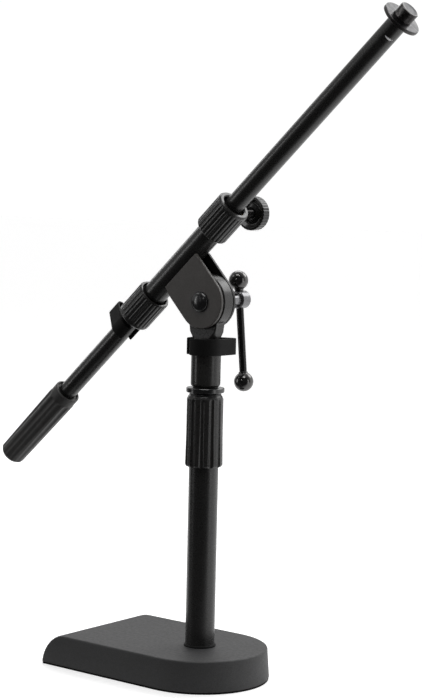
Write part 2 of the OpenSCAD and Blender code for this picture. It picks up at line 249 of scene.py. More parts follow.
def cut(ob, parts, M=ROOT, sharp=38.0):
    """Subtracts closed meshes [(verts, faces, matrix)] from ob, exactly."""
    tools = []
    mods = [m for m in ob.modifiers if m.type == "WEIGHTED_NORMAL"]
    for m in mods:
        ob.modifiers.remove(m)
    for i, (v, f, mat) in enumerate(parts):
        me = bpy.data.meshes.new("tool")
        me.from_pydata([tuple((mat @ Vector(q)) * MM) for q in v], [], f)
        bm = bmesh.new()
        bm.from_mesh(me)
        bmesh.ops.recalc_face_normals(bm, faces=bm.faces)
        bm.to_mesh(me)
        bm.free()
        t = bpy.data.objects.new("tool_%d" % i, me)
        scene.collection.objects.link(t)
        tools.append(t)
        b = ob.modifiers.new("cut_%d" % i, "BOOLEAN")
        b.operation = "DIFFERENCE"
        b.solver = "EXACT"
        b.object = t
    bake(ob, sharp)
    for t in tools:
        me = t.data
        bpy.data.objects.remove(t)
        bpy.data.meshes.remove(me)
    return ob


# ---------------------------------------------------------------- materials
def material(name, colour, rough=0.4, metal=0.0, spec=0.5, vary=0.12, vary_size=25.0, rough_vary=0.06,
             grain=0.4, grain_amount=0.012, pebble=0.0, pebble_size=1.2, worn=0.0, worn_colour=(0.3, 0.3, 0.3),
             brushed=0.0, brush_axis=(1, 1, 30), coat=0.0, coat_rough=0.1, dust=0.0, sheen=0.0, speck=0.0):
    """A procedural finish. Sizes are in millimetres."""
    m = bpy.data.materials.new(name)
    m.use_nodes = True
    nt = m.node_tree
    N, L = nt.nodes, nt.links
    bs = N["Principled BSDF"]
    bs.inputs["Metallic"].default_value = metal
    bs.inputs["Specular IOR Level"].default_value = spec
    if coat:
        bs.inputs["Coat Weight"].default_value = coat
        bs.inputs["Coat Roughness"].default_value = coat_rough
    if sheen:
        bs.inputs["Sheen Weight"].default_value = sheen
        bs.inputs["Sheen Roughness"].default_value = 0.5
    tc = N.new("ShaderNodeTexCoord").outputs["Object"]

    def noise(size, detail=3.0, roughness=0.55, vec=tc, distortion=0.0):
        n = N.new("ShaderNodeTexNoise")
        n.inputs["Scale"].default_value = 1.0 / (size * MM)
        n.inputs["Detail"].default_value = detail
        n.inputs["Roughness"].default_value = roughness
        n.inputs["Distortion"].default_value = distortion
        L.new(vec, n.inputs["Vector"])
        return n.outputs["Fac"]

    def maps(v, a, b, c, d):
        n = N.new("ShaderNodeMapRange")
        n.inputs["From Min"].default_value, n.inputs["From Max"].default_value = a, b
        n.inputs["To Min"].default_value, n.inputs["To Max"].default_value = c, d
        L.new(v, n.inputs["Value"])
        return n.outputs["Result"]

    def maths(op, a, b):
        n = N.new("ShaderNodeMath")
        n.operation = op
        for i, x in enumerate((a, b)):
            if isinstance(x, (int, float)):
                n.inputs[i].default_value = x
            else:
                L.new(x, n.inputs[i])
        return n.outputs[0]

    def blend(fac, a, b):
        n = N.new("ShaderNodeMix")
        n.data_type = "RGBA"
        L.new(fac, n.inputs["Factor"])
        for sock, x in ((n.inputs[6], a), (n.inputs[7], b)):
            if isinstance(x, tuple):
                sock.default_value = x + (1.0,)
            else:
                L.new(x, sock)
        return n.outputs[2]

    big = noise(vary_size, 4.0)
    lo = tuple(c * (1 - vary) for c in colour)
    hi = tuple(min(1.0, c * (1 + vary)) for c in colour)
    col = blend(maps(big, 0.3, 0.7, 0, 1), lo, hi)
    rgh = maps(noise(3.0, 3.0), 0.3, 0.7, rough - rough_vary, rough + rough_vary)
    height = maths("MULTIPLY", noise(grain, 3.0, 0.6), grain_amount)
    if pebble:
        vo = N.new("ShaderNodeTexVoronoi")
        vo.feature = "SMOOTH_F1"
        vo.inputs["Scale"].default_value = 1.0 / (pebble_size * MM)
        vo.inputs["Smoothness"].default_value = 0.7
        L.new(tc, vo.inputs["Vector"])
        lumps = maths("MULTIPLY", vo.outputs["Distance"], -pebble)
        height = maths("ADD", height, lumps)
        height = maths("ADD", height, maths("MULTIPLY", noise(pebble_size * 2.4, 2.0), pebble * 0.8))
        # painted shade: the colour darkens towards the low grooves between the pebble lumps
        col = blend(maps(vo.outputs["Distance"], 0.15, 0.75, 0, 0.55), col, tuple(c * 0.62 for c in colour))
    if brushed:
        mp = N.new("ShaderNodeMapping")
        mp.inputs["Scale"].default_value = brush_axis
        L.new(tc, mp.inputs["Vector"])
        br = noise(2.0, 4.0, 0.7, mp.outputs["Vector"])
        height = maths("ADD", height, maths("MULTIPLY", br, brushed))
        rgh = maths("ADD", rgh, maps(br, 0.3, 0.7, -0.05, 0.08))
    if speck:
        sp = maps(noise(0.5, 1.0, 0.5), 0.66, 0.74, 0, speck)
        col = blend(sp, col, tuple(min(1, c * 2.6 + 0.02) for c in colour))
    if dust:
        geo = N.new("ShaderNodeNewGeometry")
        sx = N.new("ShaderNodeSeparateXYZ")
        L.new(geo.outputs["Normal"], sx.inputs[0])
        up = maps(sx.outputs["Z"], 0.5, 1.0, 0, dust)
        col = blend(maths("MULTIPLY", up, maps(noise(6.0, 5.0), 0.3, 0.75, 0.2, 1)), col, (0.32, 0.31, 0.30))
    if worn:
        bv = N.new("ShaderNodeBevel")
        bv.samples = 4
        bv.inputs["Radius"].default_value = 0.5 * MM
        geo = N.new("ShaderNodeNewGeometry")
        dp = N.new("ShaderNodeVectorMath")
        dp.operation = "DOT_PRODUCT"
        L.new(bv.outputs["Normal"], dp.inputs[0])
        L.new(geo.outputs["Normal"], dp.inputs[1])
        edge = maps(dp.outputs["Value"], 0.97, 0.80, 0, 1)
        chip = maps(noise(1.6, 5.0, 0.7), 0.45, 0.62, 0, worn)
        mask = maths("MULTIPLY", edge, chip)
        col = blend(mask, col, worn_colour)
        rgh = maths("ADD", rgh, maths("MULTIPLY", mask, -0.08))
    L.new(col, bs.inputs["Base Color"])
    L.new(maths("MAXIMUM", rgh, 0.04), bs.inputs["Roughness"])
    bump = N.new("ShaderNodeBump")
    bump.inputs["Strength"].default_value = 1.0
    bump.inputs["Distance"].default_value = MM
    L.new(height, bump.inputs["Height"])
    L.new(bump.outputs["Normal"], bs.inputs["Normal"])
    return m


K = {}
K["base_paint"] = material("base_paint", (0.044, 0.044, 0.045), 0.58, spec=0.42, vary=0.10, vary_size=40, grain=0.35,
                           grain_amount=0.02, pebble=0.055, pebble_size=0.9, worn=0.35, worn_colour=(0.12, 0.12, 0.12),
                           speck=0.25)
K["rubber_black"] = material("rubber_black", (0.006, 0.006, 0.006), 0.85, spec=0.12, grain=0.3, grain_amount=0.03, vary=0.2)
K["zinc_steel"] = material("zinc_steel", (0.46, 0.47, 0.49), 0.34, 1.0, vary=0.15, vary_size=5, grain=0.3, grain_amount=0.01,
                           worn=0.3, worn_colour=(0.62, 0.62, 0.63))
K["black_tube"] = material("black_tube", (0.0165, 0.0161, 0.0158), 0.28, spec=0.55, vary=0.12, vary_size=18, grain=0.5,
                           grain_amount=0.0005, rough_vary=0.03)
K["black_casting"] = material("black_casting", (0.024, 0.0232, 0.0225), 0.28, spec=0.42, vary=0.08, vary_size=9, grain=0.6,
                              grain_amount=0.0008, rough_vary=0.04)
K["plate_black"] = material("plate_black", (0.080, 0.0740, 0.0700), 0.46, spec=0.45, vary=0.07, vary_size=14, grain=0.35,
                            grain_amount=0.010, pebble=0.006, pebble_size=0.9, worn=0.2, worn_colour=(0.16, 0.155, 0.15))
K["black_plastic"] = material("black_plastic", (0.0195, 0.0190, 0.0187), 0.29, spec=0.50, vary=0.08, vary_size=10, grain=0.6,
                              grain_amount=0.0007, rough_vary=0.04)
K["clip_plastic"] = material("clip_plastic", (0.0060, 0.0060, 0.0060), 0.60, spec=0.16, vary=0.1, vary_size=8, grain=0.25,
                             grain_amount=0.006, rough_vary=0.05)
K["gloss_black"] = material("gloss_black", (0.085, 0.083, 0.082), 0.11, 0.9, spec=0.6, vary=0.1, vary_size=6, grain=1.5,
                            grain_amount=0.002, rough_vary=0.03, coat=0.3, coat_rough=0.05)
K["natural_nylon"] = material("natural_nylon", (0.72, 0.70, 0.63), 0.48, vary=0.05, vary_size=8, grain=0.4, grain_amount=0.006)
K["fibre"] = material("fibre", (0.035, 0.028, 0.022), 0.8, spec=0.25, vary=0.3, vary_size=1.5, grain=0.25, grain_amount=0.03)
K["brass"] = material("brass", (0.78, 0.56, 0.22), 0.28, 1.0, vary=0.1, vary_size=4, grain=0.3, grain_amount=0.006, brushed=0.004)
K["inner_steel"] = material("inner_steel", (0.045, 0.045, 0.048), 0.22, 0.6, vary=0.1, vary_size=20, grain=0.4, grain_amount=0.004)
K["black_steel"] = material("black_steel", (0.012, 0.0120, 0.0125), 0.22, 0.0, spec=0.7, vary=0.12, vary_size=8, grain=0.5,
                            grain_amount=0.0025, rough_vary=0.03, worn=0.3, worn_colour=(0.16, 0.16, 0.16))
K["bar_black"] = material("bar_black", (0.030, 0.029, 0.029), 0.16, 0.75, spec=0.6, vary=0.1, vary_size=6, grain=1.2,
                         grain_amount=0.002, rough_vary=0.03)
# painted shade: the knob's black plastic darkened below black_plastic, standing for the shade in its dished face
K["knob_black_painted_shade"] = material("knob_black_painted_shade", (0.0060, 0.0060, 0.0060), 0.26, spec=0.42, vary=0.1, vary_size=8, grain=0.3,
                          grain_amount=0.005, rough_vary=0.05)
# painted shade: a darkened copy of the plate paint, standing for the shade the far plate sits in
K["far_plate_painted_shade"] = material("far_plate_painted_shade", (0.012, 0.0115, 0.011), 0.42, spec=0.4, vary=0.1, vary_size=12, grain=0.35,
                               grain_amount=0.008)
K["grip_rubber"] = material("grip_rubber", (0.0480, 0.0466, 0.0460), 0.50, spec=0.36, vary=0.08, vary_size=12, grain=0.5,
                            grain_amount=0.003, rough_vary=0.04)
K["nut_steel"] = material("nut_steel", (0.17, 0.17, 0.175), 0.25, 0.95, vary=0.15, vary_size=4, grain=0.4,
                          grain_amount=0.004, brushed=0.002, worn=0.4, worn_colour=(0.35, 0.35, 0.36))
# bright steel for the rod's crimps: partly paint broken there, partly a painted glint
K["bare_steel_and_painted_glint"] = material("bare_steel_and_painted_glint", (0.80, 0.80, 0.81), 0.45, 0.4, vary=0.1, vary_size=2, grain=0.3, grain_amount=0.004)
K["thread_steel"] = material("thread_steel", (0.060, 0.058, 0.058), 0.30, 0.9, vary=0.2, vary_size=4, grain=0.35, grain_amount=0.004)
K["stud_steel"] = material("stud_steel", (0.024, 0.0233, 0.0252), 0.38, 1.0, vary=0.10, vary_size=5, grain=0.35, grain_amount=0.003)

# every CAD node keeps its mesh unless a finished piece below stands for it
NODE_MAT = {
    "base_casting": "base_paint", "base_pad": "rubber_black", "post_bolt": "zinc_steel", "post_washer": "zinc_steel",
    "post_plug": "zinc_steel", "post_foot_collar": "black_plastic", "lower_tube": "black_tube", "clutch_collar": "black_casting",
    "height_collet": "natural_nylon", "height_clutch_grip": "black_plastic", "riser_guide_bush": "natural_nylon",
    "riser_tube": "inner_steel", "riser_stud": "black_steel", "swivel_casting": "black_casting",
    "post_cable_clip": "clip_plastic", "near_plate": "plate_black", "far_plate": "plate_black", "friction_washers": "fibre",
    "pivot_bolt": "black_steel", "handle_washer": "zinc_steel", "handle_nut": "nut_steel", "tommy_bar": "black_steel",
    "tommy_bar_balls": "gloss_black", "boom_sleeve_tube": "black_tube", "front_sleeve": "black_plastic", "lock_nut": "brass",
    "pressure_pad": "natural_nylon", "lock_screw": "zinc_steel", "lock_knob": "black_plastic",
    "rear_clutch_collar": "black_casting", "rear_collet": "natural_nylon", "rear_clutch_grip": "black_plastic",
    "rod_guide_bush": "natural_nylon", "rod_cable_clip": "clip_plastic", "boom_rod": "black_tube", "mic_stud": "stud_steel",
    "rod_end_plug": "rubber_black", "counterweight": "zinc_steel", "boom_grip": "black_plastic",
}
for n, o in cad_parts.items():
    o.data.materials.clear()
    o.data.materials.append(K[NODE_MAT[n]])
    for p in o.data.polygons:
        p.use_smooth = True
    o.data.set_sharp_from_angle(angle=radians(30))


# ---------------------------------------------------------------- base
def base_outline(w, b, rc, n_arc=56, n_side=20, n_c=6, n_end=14):
    """Plan outline: half circle of radius w about the post, straight sides, flat end at -b with corner radius rc."""
    pts = []
    for i in range(n_arc):
        a = -pi / 2 + pi * i / n_arc
        pts.append((w * cos(a), w * sin(a)))
    for i in range(n_side):
        pts.append((-(b - rc) * i / n_side, w))
    for i in range(n_c):
        a = pi / 2 + (pi / 2) * i / n_c
        pts.append((-(b - rc) + rc * cos(a), (w - rc) + rc * sin(a)))
    for i in range(n_end):
        pts.append((-b, (w - rc) - 2 * (w - rc) * i / n_end))
    for i in range(n_c):
        a = pi + (pi / 2) * i / n_c
        pts.append((-(b - rc) + rc * cos(a), -(w - rc) + rc * sin(a)))
    for i in range(n_side):
        pts.append((-(b - rc) * (1 - i / n_side), -w))
    return pts


def make_base():
    h = BASE_Z1 - BASE_Z0
    bev = 20.0
    back = lambda z: (BASE_BACK - bev) + bev * (cos(asin(min(1, z / h * sin(radians(75))))) - cos(radians(75))) / (1 - cos(radians(75)))
    zs = [0.0, 0.12, 0.35, 0.8, 2, 4, 6.5, 9, 11.5, 14, 16.5, 18.5, 20.2, 21.8, 23.2]
    top_r = 1.5
    side = lambda z: BASE_R - 2.0 * max(0, (z - 0.8)) / (h - 0.8)
    rings = []
    for z in zs:
        e = 0.8 * (1 - sqrt(max(0, 1 - ((0.8 - z) / 0.8) ** 2))) if z < 0.8 else 0
        rings.append((z, side(z) - e, back(z) - e, 2.2 + 0.9 * z / h))
    for k in range(0, 8):
        a = (pi / 2) * k / 7
        z = h - top_r + top_r * sin(a)
        e = top_r * (1 - cos(a))
        rings.append((z, side(z) - e, back(z) - 0.25 * e, 3.1 + 0.2 * k))
    z, w, b, rc = rings[-1]
    for d in (0.5, 1.4):
        rings.append((z, w - d, b - d, rc))
    verts, faces = [], []
    n = None
    for z, w, b, rc in rings:
        o = base_outline(w, b, rc)
        n = len(o)
        verts += [(x, y, z + BASE_Z0) for x, y in o]
    for k in range(len(rings) - 1):
        for i in range(n):
            j = (i + 1) % n
            faces.append((k * n + i, k * n + j, (k + 1) * n + j, (k + 1) * n + i))
    faces.append(tuple(reversed(range(n))))
    m = (len(rings) - 1) * n
    faces.append(tuple(range(m, m + n)))
    ob = new_obj("cast_base", verts, faces, K["base_paint"], "root", ("base_casting",), sharp=32)
    # underside: bolt pocket, bolt hole and a shallow relief
    parts = []
    v, f = rev([(0, -2), (17, -2), (17, 8.6), (16, 9.52), (0, 9.52)], 72)
    parts.append((v, f, Matrix.Translation((0, 0, BASE_Z0))))
    v, f = rev([(0, 5), (5.3, 5), (5.3, 40), (0, 40)], 48)
    parts.append((v, f, Matrix.Translation((0, 0, BASE_Z0))))
    v, f = flat_prism([(-88, -46), (-36, -46), (-36, 46), (-88, 46)], -2, 5.0)
    parts.append((v, f, Matrix.Translation((0, 0, BASE_Z0))))
    cut(ob, parts, sharp=32)
    return ob


make_base()



def make_pad():
    """Rubber sheet under the casting, all but flush with it, with a rounded lower edge."""
    rings = []
    for z, e in ((0.0, 0.5), (0.1, 0.22), (0.3, 0.06), (0.6, 0.0), (1.3, 0.0), (BASE_Z0 - 0.02, 0.1)):
        rings.append((z, BASE_R - 0.4 - e, BASE_BACK - 0.4 - e, 1.6))
    verts, faces, n = [], [], None
    for z, w, b, rc in rings:
        o = base_outline(w, b, rc)
        n = len(o)
        verts += [(x, y, z) for x, y in o]
    for k in range(len(rings) - 1):
        for i in range(n):
            j = (i + 1) % n
            faces.append((k * n + i, k * n + j, (k + 1) * n + j, (k + 1) * n + i))
    faces.append(tuple(reversed(range(n))))
    m = (len(rings) - 1) * n
    faces.append(tuple(range(m, m + n)))
    return new_obj("rubber_pad", verts, faces, K["rubber_black"], "root", ("base_pad",), sharp=40)


make_pad()

HEX = lambda ap: (lambda th, r, z: min(r, ap / cos((th + pi / 6) % (pi / 3) - pi / 6)))
zb = BASE_Z0 + 9.5 - 2.5 - 0.02
lathe("post_bolt_steel", [(0, zb - 3.2), (3, zb - 3.2), (3, zb - 6.4, 0.1), (7.4, zb - 6.4, 0.2), (9.3, zb - 5.3, 0.1), (9.3, zb, 0.2),
                          (5, zb, 0), (5, 43.6), (4.3, 44.5), (0, 44.5)],
      K["zinc_steel"], "root", ("post_bolt",), seg=96, rf=lambda th, r, z: HEX(8.0)(th, r, z) if r > 6 else r)
lathe("post_washer_steel", [(5.2, zb + 0.02), (12, zb + 0.02), (12, zb + 2.5), (5.2, zb + 2.5)], K["zinc_steel"], "root",
      ("post_washer",), r=0.4)
z = BASE_Z1
lathe("foot_collar", [(POST_R + 0.02, z + 0.02), (POST_R + 1.2, z + 0.02, 0.1), (POST_R + 1.2, z + 0.7), (POST_R + 0.8, z + 1.6),
                      (POST_R + 0.3, z + 2.1), (POST_R + 0.02, z + 2.1)], K["clip_plastic"], "root",
      ("post_foot_collar",), r=0.7, n=5)

# ---------------------------------------------------------------- post
lathe("lower_post_tube", [(11, BASE_Z1 + 0.02), (12.5, BASE_Z1 + 0.02), (12.5, 222), (11, 222)], K["black_tube"], "root",
      ("lower_tube",), r=0.3, step=20)

GRIP_A0 = 0.0


def arched(n, rc, gr, a0, k, z_top, rise):
    """Flutes that end in a rounded arch of height rise below z_top."""
    def g(th, r, z):
        if r <= 13.95 or z >= z_top:
            return r
        d = (th - a0 + pi / n) % (TAU / n) - pi / n
        s = rc * sin(d)
        u = max(0.0, z - (z_top - rise)) / rise * gr
        q = sqrt(s * s + u * u)
        if q >= gr:
            return r
        return smin(r, rc * cos(d) - sqrt(gr * gr - q * q), k)
    return g


lathe("height_twist_grip",
      [(13.9, 182.7), (15.0, 182.7, 0.5), (15.9, 184.1, 0.9), (15.45, 210, 0), (15.35, 240.0, 1.3), (14.5, 241.9, 0.8), (13.6, 243.2, 0.5),
       (13.3, 244.1, 0.3), (10.4, 244.1), (10.4, 241), (11, 240.2), (13.9, 223.5), (13.9, 205, 0)],
      K["black_plastic"], "height_clutch", ("height_clutch_grip",), seg=12 * 20, step=0.7,
      rf=arched(12, 16.85, 2.5, GRIP_A0, 0.22, 241.4, 3.0), r=0.4, n=4, sharp=60)

lathe("riser_tube_steel", [(8.3, 50), (9.5, 50), (9.5, 244.98), (8.3, 244.98)], K["inner_steel"], "riser", ("riser_tube",), r=0.25, step=30)


def thread(major, depth, pitch, z0, z1, run=0.6, sign=1):
    """Helical screw thread between z0 and z1 that fades out over run turns at each end."""
    def f(th, r, z):
        if r < major - 0.05 or z < z0 or z > z1:
            return r
        ph = ((z / pitch) - sign * th / TAU) % 1.0
        t = abs(2 * ph - 1)                       # 1 at the crest, 0 at the root
        t = min(1.0, max(0.0, (t - 0.12) / 0.76))
        fade = min(1.0, (z - z0) / (run * pitch), (z1 - z) / (run * pitch))
        return r - depth * (1 - t) * max(0.0, fade)
    return f


F0, F1 = 245.0, 249.3
lathe("riser_stud_flange",
      [(0, F0 - 18), (RISER_R - 1.25, F0 - 18), (RISER_R - 1.25, F0 + 0.15, 0), (15.4, F0 + 0.15, 0.3), (16.1, F0 + 0.7, 0.3), (16.1, F1 - 0.5, 0.3), (15.7, F1, 0.2),
       (STUD_R, F1, 0), (STUD_R, F1 + 13.6, 0.1), (STUD_R - 0.9, F1 + 14.7), (0, F1 + 14.7)],
      K["black_steel"], "riser", ("riser_stud",), r=0.3)

# ---------------------------------------------------------------- swivel casting
def rounded_rect(a, b, c, n_c=16, n_s=4):
    c = min(c, a - 0.004, b - 0.004)
    pts = []
    for (sx, sy, a0) in ((1, 1, 0), (-1, 1, 90), (-1, -1, 180), (1, -1, 270)):
        cx, cy = sx * (a - c), sy * (b - c)
        for k in range(n_c + 1):
            t = radians(a0 + 90 * k / n_c)
            pts.append((cx + c * cos(t), cy + c * sin(t)))
        nx, ny = ((-1, 1), (-1, -1), (1, -1), (1, 1))[(a0 // 90)]
        # straight run to the next corner's start
        ex, ey = nx * (a - c), ny * (b - c)
        t = radians(a0 + 90)
        p, q = (cx + c * cos(t), cy + c * sin(t)), (ex + c * cos(t), ey + c * sin(t))
        for k in range(1, n_s):
            pts.append((p[0] + (q[0] - p[0]) * k / n_s, p[1] + (q[1] - p[1]) * k / n_s))
    return pts


def smooth(t):
    t = max(0.0, min(1.0, t))
    return t * t * (3 - 2 * t)


def make_swivel():
    z0, H = 249.32, 5.8
    st = []
    for z, r in ((z0, 10.2), (z0 + 0.12, 10.55), (z0 + 0.4, 10.7), (z0 + 0.8, 10.75), (z0 + 1.2, 11.1), (z0 + 1.6, 11.75), (z0 + 2.0, 12.2), (z0 + 2.5, 12.43), (z0 + 3.1, 12.5)):
        st.append((z, r, r, r))
    zc = 282.4
    for k in range(1, 12):
        z = z0 + 3.1 + (zc - z0 - 3.1) * k / 11
        st.append((z, 12.5, 12.5, 12.5))
    # flattens behind the clip, then widens in x up to the tongue between the plates
    for k in range(1, 13):
        t = k / 12
        b = 12.5 - 5.9 * smooth(t)
        st.append((zc + 4.4 * t, 12.5, b, b - 1.0 * t))
    for k in range(1, 4):
        st.append((zc + 4.4 + 4.1 * k / 3, 12.5, 6.6, 5.6))
    zn = PIVOT_Z - 22.8
    for k in range(1, 15):
        t = k / 14
        st.append((290.9 + (zn - 290.9) * t, 12.5 + 1.5 * t, 6.6 - 0.4 * t, 5.6 - 4.1 * min(1, t * 1.5)))
    for a, b, c in ((14.0, 6.2, 1.5), (14.0, 5.8, 1.1)):
        zn += 0.25
        st.append((zn, a, b, c))
    p0 = -acos(14.8 / 23.0)
    zs = PIVOT_Z + 23 * sin(p0)
    for k in range(1, 5):
        st.append((zn + (zs - zn) * k / 4, 14.0 + 0.8 * k / 4, H, 0.9))
    for k in range(1, 49):
        ps = p0 + (radians(88.2) - p0) * k / 48
        st.append((PIVOT_Z + 23 * sin(ps), 23 * cos(ps), H - (0.25 if k == 48 else 0), 0.9))
    verts, faces, n = [], [], None
    for z, a, b, c in st:
        o = rounded_rect(a, b, c)
        n = len(o)
        verts += [(x, y, z) for x, y in o]
    for k in range(len(st) - 1):
        for i in range(n):
            j = (i + 1) % n
            faces.append((k * n + i, k * n + j, (k + 1) * n + j, (k + 1) * n + i))
    faces.append(tuple(reversed(range(n))))
    m = (len(st) - 1) * n
    faces.append(tuple(range(m, m + n)))
    ob = new_obj("swivel_head", verts, faces, K["black_casting"], "riser", ("swivel_casting",), sharp=42)
    v, f = rev([(0, -20), (4.05, -20), (4.05, 20), (0, 20)], 48)
    parts = [(v, f, Matrix.Translation((0, 0, PIVOT_Z)) @ AXY)]
    v, f = rev([(0, 240), (STUD_R + 0.03, 240), (STUD_R + 0.03, F1 + 18), (0, F1 + 18)], 64)
    parts.append((v, f, ROOT))
    cut(ob, parts, sharp=42)
    return ob


make_swivel()


# ---------------------------------------------------------------- cable clips
def clip_outline(ri, ro, tail, tr, pr, mouth):
    ao, ai = acos((ro - tr) / tail), acos((ri - pr) / tail)
    m = pi - radians(mouth)
    arc = lambda cx, r, a, b, n: [(cx + r * cos(a + (b - a) * k / n), r * sin(a + (b - a) * k / n)) for k in range(n + 1)]
    pts = arc(0, ro, m, ao, 40) + arc(tail, tr, ao, -ao, 18) + arc(0, ro, -ao, -m, 40)
    # rounded lips
    def lip(a, s):
        c = (ri + ro) / 2
        h = (ro - ri) / 2
        out = []
        for k in range(1, 6):
            t = pi * k / 6
            rr = c + h * cos(t)
            d = h * 0.75 * sin(t) / c
            out.append((rr * cos(a + s * d), rr * sin(a + s * d)))
        return out
    pts += lip(-m, -1)
    pts += arc(0, ri, -m, -ai, 40) + arc(tail, pr, -ai, ai, 14) + arc(0, ri, ai, m, 40)
    pts += list(reversed(lip(m, 1)))
    return pts


def make_clip(name, body, node, M, args, h):
    o = clip_outline(*args)
    v, f = flat_prism(o, 0, h)
    ob = new_obj(name, v, f, K["clip_plastic"], body, (node,), M, sharp=30, normals=False)
    bevel(ob, 0.45, 3, 40)
    return bake(ob, 35)


make_clip("post_clip_plastic", "post_clip", "post_cable_clip",
          Matrix.Translation((0, 0, 276.9)) @ Matrix.Rotation(radians(53.5), 4, "Z"),
          (POST_R + 0.05, POST_R + 3.9, 21.1, 4.6, 2.6, 17.5), 13.8)
make_clip("rod_clip_plastic", "rod_clip", "rod_cable_clip",
          ONB @ Matrix.Translation((0, 0, -89.8)) @ Matrix.Rotation(radians(172), 4, "Z"),
          (ROD_R + 0.05, ROD_R + 3, 18, 4.4, 2.4, 33), 13.6)


# ---------------------------------------------------------------- yoke
def make_plate(name, node, side):
    """Side plate in the boom's frame; side is -1 for the near one and 1 for the far one."""
    R, CUT = 22.5, SL_R + 0.02
    def outline(y):
        m = OFFSET - sqrt(CUT * CUT - min(y, 7.44) ** 2)
        m = min(m, OFFSET - 7.4)
        pts = [(-21.2, 32.6), (-R, 23.6), (-R, 12), (-R, 0)]
        for k in range(1, 40):
            a = pi + pi * k / 40
            pts.append((R * cos(a), R * sin(a)))
        pts += [(R, 0), (R, 12), (R, 24), (R, m - 0.5)]
        for k in range(0, 12):
            pts.append((R - 0.5 - (R + 20.0) * k / 12, m))
        pts += [(-20.7, m)]
        return pts
    ys = (6.9, 7.2, 7.5, 8.2, 9.0, 9.9)
    verts, faces, n = [], [], None
    for y in ys:
        o = outline(y)
        n = len(o)
        verts += [(t, side * y, m) for t, m in o]
    for k in range(len(ys) - 1):
        for i in range(n):
            j = (i + 1) % n
            faces.append((k * n + i, k * n + j, (k + 1) * n + j, (k + 1) * n + i))
    faces.append(tuple(range(n)))
    faces.append(tuple(range((len(ys) - 1) * n, len(ys) * n)))
    # the far plate takes the darkened copy of the plate paint, a painted shade
    ob = new_obj(name, verts, faces, K["plate_black" if side < 0 else "far_plate_painted_shade"], "boom_yoke", (node,), BOOM, sharp=30, normals=False)
    # the outer edge is well rounded, the inner one only broken
    bm = bmesh.new()
    bm.from_mesh(ob.data)
    lay = bm.edges.layers.float.get("bevel_weight_edge") or bm.edges.layers.float.new("bevel_weight_edge")
    Mi = BOOM.inverted()
    for e in bm.edges:
        if len(e.link_faces) == 2 and e.calc_face_angle(0) > radians(40):
            y = [abs((Mi @ (w.co / MM)).y) for w in e.verts]
            e[lay] = 1.0 if min(y) > 9.8 else 0.35
    bm.to_mesh(ob.data)
    bm.free()
    m = ob.modifiers.new("rounded_edges", "BEVEL")
    m.width = 1.35 * MM
    m.segments = 4
    m.limit_method = "WEIGHT"
    bake(ob, 35)
    v, f = rev([(0, -15), (4.1, -15), (4.1, 15), (0, 15)], 48)
    if side < 0:
        o = [(-4.1, -4.1), (4.1, -4.1), (4.1, 4.1), (-4.1, 4.1)]
        v, f = flat_prism(o, -15, -2)
    return cut(ob, [(v, f, BOOM @ AXY)], sharp=35)


make_plate("near_side_plate", "near_plate", -1)
make_plate("far_side_plate", "far_plate", 1)

# pivot bolt: domed head on a square neck
yh = -9.92
def bolt_rf(th, r, z):
    if z > yh + 0.05 and z < yh + 3.0 and r > 4.05:
        return min(r, 4.0 / max(abs(cos(th)), abs(sin(th))))
    return r
dome = [(0, yh - 4.0)]
for k in range(1, 12):
    t = k / 11
    dome.append((8.45 * sin(t * pi / 2), yh - 0.55 - 3.45 * cos(t * pi / 2)))
dome += [(8.7, yh - 0.45), (8.7, yh - 0.02), (8.6, yh)]
prof = dome + [(5.5, yh), (5.5, yh + 0.1), (5.5, yh + 1.5), (5.5, yh + 2.95), (4.0, yh + 3.0), (4.0, 12), (4.0, 24), (4.0, 35.2), (3.4, 36), (0, 36)]
v, f = rev(prof, 96, bolt_rf)
new_obj("pivot_bolt_black", v, f, K["black_steel"], "boom_yoke", ("pivot_bolt",), BOOM @ AXY, 40)
PV = Matrix.Translation((0, 0, PIVOT_Z)) @ AXY
lathe("handle_washer_steel", [(4.1, 9.92), (8, 9.92), (8, 11.4), (4.1, 11.4)], K["zinc_steel"], "boom_yoke", ("handle_washer",), PV, r=0.3)

# ---------------------------------------------------------------- T-handle
H0, H1 = 44 - 4.6, 44 + 7.2
# the nut as one closed outline, from the blind bore round to the axis
prof = soft([(0, 38.5), (4.05, 38.5, 0.2), (4.05, 11.5, 0.3), (6.6, 11.5, 0.4), (6.6, 14.0, 0.5), (5.2, 15.5, 1.2), (5.2, H0 - 0.6, 0.8),
             (6.6, H0, 0.4), (7.7, H0 + 1.1, 0.6), (7.7, H1 - 1.2, 0.7), (6.6, H1, 0.4), (3.0, H1, 0.3), (2.4, H1 - 0.5, 0.3), (0, H1 - 0.5)], 0.3, 4)
v, f = rev(prof, 72)
nut = new_obj("handle_nut_steel", v, f, K["nut_steel"], "handle", ("handle_nut",), PV, 40)
v, f = rev([(0, -20), (3.27, -20), (3.27, 20), (0, 20)], 48)
cut(nut, [(v, f, BAR)], sharp=40)

UP, LEN, BR = 16.2, 86.2, 8.4
lathe("tommy_bar_black", [(0, UP - LEN - 1.5), (3.2, UP - LEN - 1.5), (3.2, UP + 1.5), (0, UP + 1.5)], K["bar_black"], "tommy_bar",
      ("tommy_bar",), BAR, seg=48, r=0.3, step=8)


def ball(sign, zc):
    """Ball with a short collar where the bar enters; sign points from the ball's centre to its outer end."""
    b = 3.22
    pts = [(0, 8.4)]
    n = 30
    a_end = acos(-7.35 / 8.4)
    for k in range(1, n + 1):
        a = a_end * k / n
        pts.append((8.4 * sin(a), 8.4 * cos(a)))
    pts += [(4.0, -7.75), (3.98, -8.3), (3.75, -8.55), (3.4, -8.6), (b, -8.4), (b, -5), (b, 0), (b, 1.52), (0, 1.52)]
    return [(r, zc + sign * z) for r, z in pts]


v, f = rev(ball(1, UP), 64)
v2, f2 = rev(ball(-1, UP - LEN), 64)
k = len(v)
new_obj("bar_balls", v + v2, f + [tuple(i + k for i in q) for q in f2], K["gloss_black"], "tommy_bar",
        ("tommy_bar_balls",), BAR, 50)

